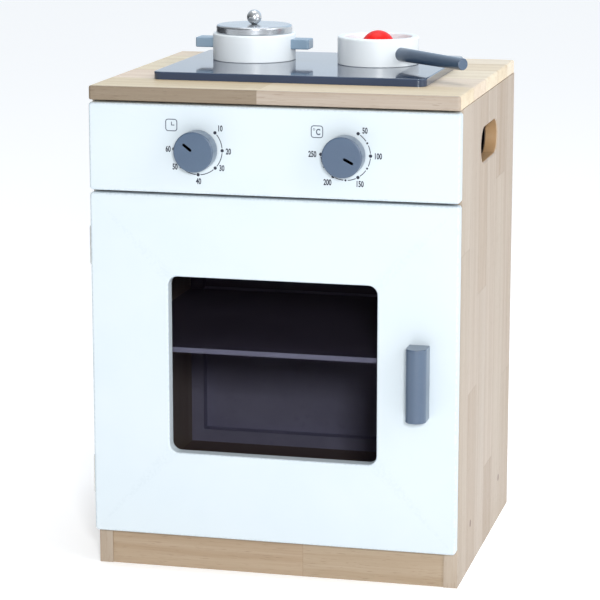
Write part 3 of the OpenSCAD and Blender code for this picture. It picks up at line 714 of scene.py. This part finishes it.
def addControlPanel(values):
    centre, size = middle("control_panel")
    outline = softRect(size[0], size[2], values["corner"])
    profile = slabProfile(size[1], values["edge"], values["foot"])
    axes = ((centre[0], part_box("control_panel")[1][1], centre[2]), (1, 0, 0), (0, 0, 1), (0, -1, 0))
    addPiece(
        "control_board", [sweptPart(outline, profile, axes)], "cabinet", "front_paint", ["control_panel"]
    )


addControlPanel(slabs["front"])

doorShape = {
    "corner": 0.0036,
    "edge": 0.0024,
    "foot": 0.0012,
    "window": (0.228, 0.194),
    "windowRise": 0.003,
    "windowCorner": 0.010,
    "windowEdge": 0.0016,
    "windowBackEdge": 0.0005,
    "sillCover": 0.0025,
    "backStep": 0.00015,  # the back face stands this much behind the hardware let into it
}


def addDoor(values):
    # A frame: the door's outline and the window's outline, each carried along its own edge profile
    low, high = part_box("door_panel")
    front, back = low[1], high[1] - values["backStep"]
    thickness = back - front
    centre = ((low[0] + high[0]) / 2, front, (low[2] + high[2]) / 2)
    outer = softRect(high[0] - low[0], high[2] - low[2], values["corner"])
    inner = softRect(*values["window"], values["windowCorner"], (0, values["windowRise"]), 6)
    cover = values["edge"] + flatMargin
    rim = softLine(
        [(cover, 0), (0, 0), (0, thickness), (cover, thickness)], [0, values["edge"], values["foot"], 0]
    )
    reach = values["sillCover"]
    sill = softLine(
        [(reach, thickness), (0, thickness), (0, 0), (reach, 0)],
        [0, values["windowBackEdge"], values["windowEdge"], 0],
    )
    axes = (centre, (1, 0, 0), (0, 0, 1), (0, 1, 0))
    rings, edges = [], []
    for (points, normals, corners), (line, unused, bends), way in ((outer, rim, -1), (inner, sill, 1)):
        flat = points[None] + way * line[:, 0, None, None] * normals[None]
        rings.append(placed(flat, np.broadcast_to(line[:, 1, None], flat.shape[:2]), axes))
        edges.append(np.maximum(bends[:, None], corners[None] * 0.3))
    part = gridPart(np.vstack(rings), np.vstack(edges), wrap=True)
    addPiece("door_board", [part], "door", "front_paint", ["door_panel"])


addDoor(doorShape)

handleShape = {"end": 0.0011, "cover": 0.0024, "support": 0.0008}


def addDoorHandle(values):
    # A D seen from above, carried up the handle with softened ends
    low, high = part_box("door_handle")
    width, flank = high[0] - low[0], high[1] - low[1] - (high[0] - low[0]) / 2
    radius = width / 2
    turn = np.linspace(math.pi, 2 * math.pi, 49)
    nose = np.stack([np.cos(turn), np.sin(turn)], 1)
    support = values["support"]
    right = [(radius, -support), (radius, 0)]
    left = [(-radius, 0), (-radius, -support)]
    points = np.vstack([right, left, nose * radius + (0, -flank)])
    normals = np.vstack([[(1, 0), (1, 0)], [(-1, 0), (-1, 0)], nose])
    outline = (points, normals, np.zeros(len(points)))
    length = high[2] - low[2]
    profile = softLine(
        [(values["cover"], 0), (0, 0), (0, length), (values["cover"], length)],
        [0, values["end"], values["end"], 0],
    )
    axes = (((low[0] + high[0]) / 2, high[1], low[2]), (1, 0, 0), (0, 1, 0), (0, 0, 1))
    addPiece("door_grip", [sweptPart(outline, profile, axes)], "door", "slate_paint", ["door_handle"])


addDoorHandle(handleShape)
print("fronts and worktop built")


knobShape = {"edge": 0.0013, "foot": 0.0008, "count": 120}
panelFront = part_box("control_panel")[0][1]


def addKnob(name, node, body, values):
    centre, size = middle(node)
    radius, length = size[0] / 2, size[1]
    corners = [(0, 0), (radius, 0), (radius, length), (0, length)]
    profile = softLine(corners, [0, values["foot"], values["edge"], 0], False, 8, 0.0006)
    axes = ((centre[0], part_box(node)[1][1], centre[2]), (1, 0, 0), (0, 0, 1), (0, -1, 0))
    addPiece(name, [turnedPart(profile, axes, values["count"])], body, "slate_paint", [node])


addKnob("timer_cap", "timer_knob", "timer_dial", knobShape)
addKnob("temperature_cap", "temperature_knob", "temperature_dial", knobShape)


inkShape = {
    "stand": 0.00006,  # how far print stands out of the face it lies on
    "thickness": 0.00016,
    "letterHalf": 0.00008,
    "letterSink": 0.00002,
    "letterBoldness": 0.00028,
}


def inkAxes(x, z, face):
    return ((x, face - inkShape["stand"], z), (1, 0, 0), (0, 0, 1), (0, 1, 0))


def inkDot(x, z, radius, face):
    angle = np.linspace(0, 2 * math.pi, 28, endpoint=False)
    ring = np.stack([np.cos(angle), np.sin(angle)], 1) * radius
    height = np.array([0.0, inkShape["thickness"]])
    rings = placed(np.stack([ring, ring]), np.broadcast_to(height[:, None], (2, 28)), inkAxes(x, z, face))
    return gridPart(rings, np.zeros((2, 28)))


def inkStrip(centreLine, normals, width, x, z, face, closed=False):
    # A flat line of constant width: four rails, on both sides of the centre line, in front and behind
    sides = np.array([1, -1, -1, 1]) * width / 2
    heights = np.array([0, 0, 1, 1]) * inkShape["thickness"]
    flat = centreLine[:, None] + sides[None, :, None] * normals[:, None]
    rings = placed(flat, np.broadcast_to(heights, flat.shape[:2]), inkAxes(x, z, face))
    return gridPart(rings, np.zeros(rings.shape[:2]), closed)


def inkArc(x, z, radius, start, end, width, face):
    angle = np.radians(np.linspace(start, end, max(4, int(abs(end - start) / 3))))
    ray = np.stack([np.cos(angle), np.sin(angle)], 1)
    return inkStrip(ray * radius, ray, width, x, z, face)


def inkFrame(x, z, side, radius, width, face):
    points, normals, bends = softRect(side, side, radius)
    return inkStrip(points, normals, width, x, z, face, True)


def inkBar(x, z, start, end, width, face):
    # A bar with round ends between two flat points
    start, end = np.array(start, float), np.array(end, float)
    heading = math.atan2(*(end - start)[::-1])
    turn = np.linspace(-math.pi / 2, math.pi / 2, 9)
    cap = width / 2 * np.stack([np.cos(turn + heading), np.sin(turn + heading)], 1)
    ring = np.vstack([start - cap, end + cap])
    height = np.array([0.0, inkShape["thickness"]])
    rings = placed(
        np.stack([ring, ring]), np.broadcast_to(height[:, None], (2, len(ring))), inkAxes(x, z, face)
    )
    return gridPart(rings, np.zeros((2, len(ring))))


def inkText(words, size, narrow, x, z, face):
    # Letters become a mesh first, then their points are moved to the panel
    curve = bpy.data.curves.new("letters", "FONT")
    curve.body = words
    curve.size = size
    curve.extrude = inkShape["letterHalf"]
    curve.offset = inkShape["letterBoldness"]
    curve.resolution_u = 4
    curve.align_x, curve.align_y = "CENTER", "CENTER"
    holder = bpy.data.objects.new("letters", curve)
    bpy.context.scene.collection.objects.link(holder)
    bpy.context.view_layer.update()
    mesh = holder.evaluated_get(bpy.context.evaluated_depsgraph_get()).to_mesh()
    mesh.calc_loop_triangles()
    flat = np.zeros(len(mesh.vertices) * 3, np.float32)
    mesh.vertices.foreach_get("co", flat)
    triangles = np.zeros(len(mesh.loop_triangles) * 3, np.int32)
    mesh.loop_triangles.foreach_get("vertices", triangles)
    flat = flat.reshape(-1, 3).astype(float)
    middleX = (flat[:, 0].min() + flat[:, 0].max()) / 2
    middleY = (flat[:, 1].min() + flat[:, 1].max()) / 2
    across = x + (flat[:, 0] - middleX) * narrow
    outwards = face + inkShape["letterSink"] - flat[:, 2]
    points = np.stack([across, outwards, z + flat[:, 1] - middleY], 1)
    bpy.data.objects.remove(holder)
    bpy.data.curves.remove(curve)
    triangles = triangles.reshape(-1, 3).astype(int)
    return orient(points, np.zeros((0, 4), int), triangles, np.zeros(len(points)))


scaleMarks = {
    "radius": 0.0264,
    "bigDot": 0.0018,
    "smallDot": 0.0011,
    "line": 0.0009,
    "digitSize": 0.0086,
    "digitWidth": 0.66,
    "gap": 5.5,  # in degrees, between a dot and the line beside it
}
# angle of the dot, its number, and how far the number's middle stands from the dot
timerMarks = [
    (45, "10", (0.0060, 0.0048)),
    (0, "20", (0.0068, -0.0006)),
    (-45, "30", (0.0073, 0.0002)),
    (-90, "40", (0.0004, -0.0068)),
    (-135, "50", (-0.0066, 0.0)),
    (180, "60", (-0.0062, 0.0)),
]
temperatureMarks = [
    (60, "50", (0.0072, 0.0034)),
    (0, "100", (0.0084, 0.0)),
    (-60, "150", (0.0024, -0.0068)),
    (-120, "200", (-0.0060, -0.0062)),
    (180, "250", (-0.0090, 0.0)),
]


def addScale(name, node, marks, smallDots, values):
    centre = middle(node)[0]
    x, z, face = centre[0], centre[2], panelFront
    r = values["radius"]
    parts = []
    for angle, words, away in marks:
        turn = math.radians(angle)
        spot = (x + r * math.cos(turn), z + r * math.sin(turn))
        parts.append(inkDot(*spot, values["bigDot"], face))
        place = (spot[0] + away[0], spot[1] + away[1])
        parts.append(inkText(words, values["digitSize"], values["digitWidth"], *place, face))
    for angle in smallDots:
        turn = math.radians(angle)
        parts.append(inkDot(x + r * math.cos(turn), z + r * math.sin(turn), values["smallDot"], face))
    stops = sorted(
        [angle for angle, words, away in marks if angle != 180] + list(smallDots) + [-180], reverse=True
    )
    gap = values["gap"]
    for first, second in zip(stops, stops[1:]):
        parts.append(inkArc(x, z, r, first - gap, second + gap, values["line"], face))
    addPiece(name, parts, "cabinet", "front_paint", (), ink)


addScale("timer_scale", "timer_knob", timerMarks, [], scaleMarks)
addScale("temperature_scale", "temperature_knob", temperatureMarks, [30, -30, -90, -150], scaleMarks)

iconShape = {
    "side": 0.0122,
    "corner": 0.0026,
    "line": 0.00095,
    "timerAt": (-0.1084, 0.4909),
    "temperatureAt": (0.049, 0.489),
    "clockMiddle": (0.0002, 0.0),
    "handEnds": [(0.0002, 0.0032), (0.0030, 0.0)],
    "handWidth": 0.0009,
    "degreeAt": (-0.0031, 0.0024),
    "degreeRadius": 0.0009,
    "degreeLine": 0.0005,
    "letterAt": (0.0012, -0.0002),
    "letterSize": 0.0088,
    "letterWidth": 0.78,
}


def addIcons(values):
    side, line = values["side"], values["line"]
    x, z = values["timerAt"]
    face = panelFront
    parts = [inkFrame(x, z, side, values["corner"], line, face)]
    for end in values["handEnds"]:
        parts.append(inkBar(x, z, values["clockMiddle"], end, values["handWidth"], face))
    x, z = values["temperatureAt"]
    parts.append(inkFrame(x, z, side, values["corner"], line, face))
    ring = np.radians(np.linspace(0, 360, 20, endpoint=False))
    ray = np.stack([np.cos(ring), np.sin(ring)], 1)
    circle = ray * values["degreeRadius"] + values["degreeAt"]
    parts.append(inkStrip(circle, ray, values["degreeLine"], x, z, face, True))
    letterX, letterZ = x + values["letterAt"][0], z + values["letterAt"][1]
    parts.append(inkText("C", values["letterSize"], values["letterWidth"], letterX, letterZ, face))
    addPiece("dial_icons", parts, "cabinet", "front_paint", (), softInk)


addIcons(iconShape)

pointerShape = {
    "inner": 0.0036,
    "outer": 0.0124,
    "width": 0.0030,
    "timerAngle": 142,
    "temperatureAngle": -27,
}


def addPointer(name, node, body, angle, values):
    centre = middle(node)[0]
    ray = np.array([math.cos(math.radians(angle)), math.sin(math.radians(angle))])
    bar = inkBar(
        centre[0],
        centre[2],
        ray * values["inner"],
        ray * values["outer"],
        values["width"],
        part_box(node)[0][1] + inkShape["stand"],  # level with the cap
    )
    addPiece(name, [bar], body, "slate_paint", (), pointerInk)


addPointer("timer_pointer", "timer_knob", "timer_dial", pointerShape["timerAngle"], pointerShape)
addPointer(
    "temperature_pointer",
    "temperature_knob",
    "temperature_dial",
    pointerShape["temperatureAngle"],
    pointerShape,
)
print("knobs and prints built")


potShape = {"wall": 0.008, "floor": 0.005, "rim": 0.002, "foot": 0.001, "well": 0.003}


def upAxes(node):
    centre, size = middle(node)
    return ((centre[0], centre[1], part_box(node)[0][2]), (1, 0, 0), (0, 1, 0), (0, 0, 1)), size


def addVessel(name, node, body, values):
    # foot, outer wall, rounded rim, inner wall and a hollow with a rounded bottom
    axes, size = upAxes(node)
    radius, height = size[0] / 2, size[2]
    inner = radius - values["wall"]
    corners = [
        (0, 0),
        (radius, 0),
        (radius, height),
        (inner, height),
        (inner, values["floor"]),
        (0, values["floor"]),
    ]
    profile = softLine(
        corners, [0, values["foot"], values["rim"], values["rim"], values["well"], 0], False, 8, 0.0005
    )
    addPiece(name, [turnedPart(profile, axes, 160)], body, "vessel_paint", [node])


addVessel("pot_bowl", "pot_body", "pot", potShape)
addVessel("pan_bowl", "pan_body", "pan", potShape)

lidShape = {"plug": 0.003, "plugEdge": 0.0005, "play": 0.0006, "edge": 0.0024, "foot": 0.0012}


def addLid(values):
    # a plug that fits in the pot, a step out to the rim, and a flat top with a rounded edge
    axes, size = upAxes("pot_lid")
    radius, height = size[0] / 2, size[2]
    potLow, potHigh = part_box("pot_body")
    plugRadius = (potHigh[1] - potLow[1]) / 2 - potShape["wall"] - values["play"]
    step = values["plug"]
    corners = [(0, 0), (plugRadius, 0), (plugRadius, step), (radius, step), (radius, height), (0, height)]
    radii = [0, values["plugEdge"], 0, values["foot"], values["edge"], 0]
    profile = softLine(corners, radii, False, 8, 0.0005)
    addPiece("lid_disc", [turnedPart(profile, axes, 160)], "lid", "silver_paint", ["pot_lid"])


addLid(lidShape)


def addBall(name, node, body, slotName, foot, radius, top):
    # A ball cut by a flat foot: circles from the foot's ring up to the pole
    low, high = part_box(node)
    centre = ((low[0] + high[0]) / 2, (low[1] + high[1]) / 2)
    heart = top - radius
    lowest = math.asin(max(-1.0, (foot - heart) / radius))
    lift = np.linspace(lowest, math.pi / 2, 48)[:-1]
    line = np.stack([radius * np.cos(lift), heart + radius * np.sin(lift)], 1)
    line = np.vstack([[(0, line[0, 1])], [(line[0, 0] * 0.98, line[0, 1])], line, [(0, top)]])
    profile = (line, None, np.zeros(len(line)))
    axes = ((centre[0], centre[1], 0), (1, 0, 0), (0, 1, 0), (0, 0, 1))
    addPiece(name, [turnedPart(profile, axes, 96)], body, slotName, [node])


ballLow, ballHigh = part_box("lid_knob")
ballRadius = (ballHigh[0] - ballLow[0]) / 2
addBall(
    "lid_ball", "lid_knob", "lid", "silver_paint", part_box("pot_lid")[1][2] - 0.0002, ballRadius, ballHigh[2]
)
tomatoLow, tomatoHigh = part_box("tomato")
addBall(
    "tomato_ball",
    "tomato",
    "tomato",
    "red_paint",
    tomatoLow[2],
    (tomatoHigh[0] - tomatoLow[0]) / 2,
    tomatoHigh[2],
)

gripShape = {"corner": 0.0022, "edge": 0.0013, "margin": 0.0006, "inWall": 0.005}


def addPotGrip(name, node, side, values):
    # a block with softened edges whose root is let into the pot's wall
    low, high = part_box(node)
    potLow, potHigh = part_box("pot_body")
    potCentre, potRadius = (potLow[0] + potHigh[0]) / 2, (potHigh[1] - potLow[1]) / 2
    outside = high[0] if side > 0 else low[0]
    root = potCentre + side * (potRadius - values["inWall"])
    outline = softRect(abs(outside - root), high[1] - low[1], values["corner"], steps=5)
    profile = slabProfile(high[2] - low[2], values["edge"], values["edge"], values["margin"])
    axes = (((outside + root) / 2, (low[1] + high[1]) / 2, low[2]), (1, 0, 0), (0, 1, 0), (0, 0, 1))
    addPiece(name, [sweptPart(outline, profile, axes)], "pot", "slate_paint", [node], gripPaintedLight)


addPotGrip("pot_grip_left", "pot_handle_left", -1, gripShape)
addPotGrip("pot_grip_right", "pot_handle_right", 1, gripShape)

stickShape = {
    "angle": 44,
    "root": 0.0075,
    "tip": 0.0064,
    "rise": 0.014,
    "out": 0.115,
    "inWall": 0.0055,
    "end": 0.0012,
}


def addPanStick(values):
    # a round rod from inside the pan's wall outwards, thinner towards its softened end
    low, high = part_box("pan_body")
    panRadius = (high[0] - low[0]) / 2
    turn = math.radians(values["angle"])
    heading = (math.cos(turn), -math.sin(turn), 0)
    origin = ((low[0] + high[0]) / 2, (low[1] + high[1]) / 2, low[2] + values["rise"])
    start, end = panRadius - values["inWall"], panRadius + values["out"]
    root, tip = values["root"], values["tip"]
    corners = [(0, start), (root, start), (root, panRadius), (tip, end), (0, end)]
    profile = softLine(corners, [0, values["end"], 0, values["end"], 0], False, 6, 0.0004)
    axes = (origin, (math.sin(turn), math.cos(turn), 0), (0, 0, 1), heading)
    addPiece("pan_stick", [turnedPart(profile, axes, 64)], "pan", "slate_paint", ["pan_handle"])


addPanStick(stickShape)
print("pot, pan and tomato built")


studio = {
    "floorRadius": 16.0,
    "floorGlow": 0.27,
    "keyPlace": (2.7, -1.0, 1.7),
    "keySize": 1.9,
    "keyPower": 33.0,
    "frontPlace": (0.95, -2.95, 1.20),
    "frontSize": 0.34,
    "frontPower": 56.0,
    "topPlace": (-0.1, 0.2, 2.3),
    "topSize": 1.2,
    "topPower": 11.0,
    "sideways": 0.24,
    "backwards": 0.40,
    "depth": 0.33,
    "upwards": 0.40,
    "level": 0.40,
    "roomColour": (0.97, 0.985, 1.0, 1.0),
    "backColour": (0.60, 0.75, 0.90, 1.0),
    "backFade": (0.3, 0.9),
    "riseFade": (0.05, 0.16),
    "flagPlaces": [(-1.30, -0.25, 0.18), (-1.02, 1.20, 0.18)],
    "flagHeight": 0.62,
}


def addFloor(values):
    angle = np.linspace(0, 2 * math.pi, 128, endpoint=False)
    ring = np.stack([np.cos(angle), np.sin(angle), np.zeros(128)], 1) * values["floorRadius"]
    mesh = bpy.data.meshes.new("floor")
    mesh.from_pydata(ring.tolist(), [], [list(range(128))])
    f = Finish("floor_paper", IOR=1.3, Emission_Color=(1, 1, 1, 1), Emission_Strength=values["floorGlow"])
    mottle = f.noise(3.0, 2.0, 0.5)
    f.feed(
        Base_Color=f.blend(mottle, (0.93, 0.93, 0.93, 1), (0.92, 0.92, 0.925, 1)),
        Roughness=mottle * 0.05 + 0.9,
    )
    mesh.materials.append(f.material)
    floor = bpy.data.objects.new("floor", mesh)
    bpy.context.scene.collection.objects.link(floor)


def addFlag(values):
    # a dark board out of view on the left, which the metal and the gloss pick up
    low = np.array(values["flagPlaces"])
    corners = np.vstack([low, low[::-1] + (0, 0, values["flagHeight"])])
    mesh = bpy.data.meshes.new("flag")
    mesh.from_pydata(corners.tolist(), [], [(0, 1, 2, 3)])
    mesh.materials.append(feltFinish("flag_cloth", (0.012, 0.014, 0.020, 1), (0.008, 0.010, 0.015, 1)))
    flag = bpy.data.objects.new("flag", mesh)
    bpy.context.scene.collection.objects.link(flag)


def addSoftbox(name, place, size, power, aim=(0, 0, 0.28)):
    data = bpy.data.lights.new(name, "AREA")
    data.shape = "SQUARE"
    data.size = size
    data.energy = power
    light = bpy.data.objects.new(name, data)
    light.location = place
    light.rotation_euler = facing(place, aim)
    bpy.context.scene.collection.objects.link(light)


def addSky(values):
    # a soft white room: brighter on the right, behind and above, darker on the left and in front
    world = bpy.data.worlds.new("room")
    bpy.context.scene.world = world
    world.use_nodes = True
    tree = world.node_tree
    background = tree.nodes["Background"]
    sky = Finish.__new__(Finish)
    sky.tree = tree
    direction = sky.node("ShaderNodeTexCoord", {}, {}, "Generated")
    parts = sky.node("ShaderNodeSeparateXYZ", {}, {0: direction}, None)
    x, y, z = (Wire(sky, parts.outputs[i]) for i in range(3))
    level = x * values["sideways"] + y * values["backwards"] + y * y * values["depth"]
    level = level + z * values["upwards"] + values["level"]
    tree.links.new(level.socket, background.inputs["Strength"])
    # a bluish band behind, above eye level, which the hob and the lid pick up
    band = y.ramp(*values["backFade"]) * z.ramp(*values["riseFade"])
    colour = sky.blend(band, values["roomColour"], values["backColour"])
    tree.links.new(colour.socket, background.inputs["Color"])


addFloor(studio)
addFlag(studio)
addSoftbox("key", studio["keyPlace"], studio["keySize"], studio["keyPower"])
addSoftbox("front", studio["frontPlace"], studio["frontSize"], studio["frontPower"], (0, 0.1, 0.2))
addSoftbox("top", studio["topPlace"], studio["topSize"], studio["topPower"])
addSky(studio)
print("studio lit")
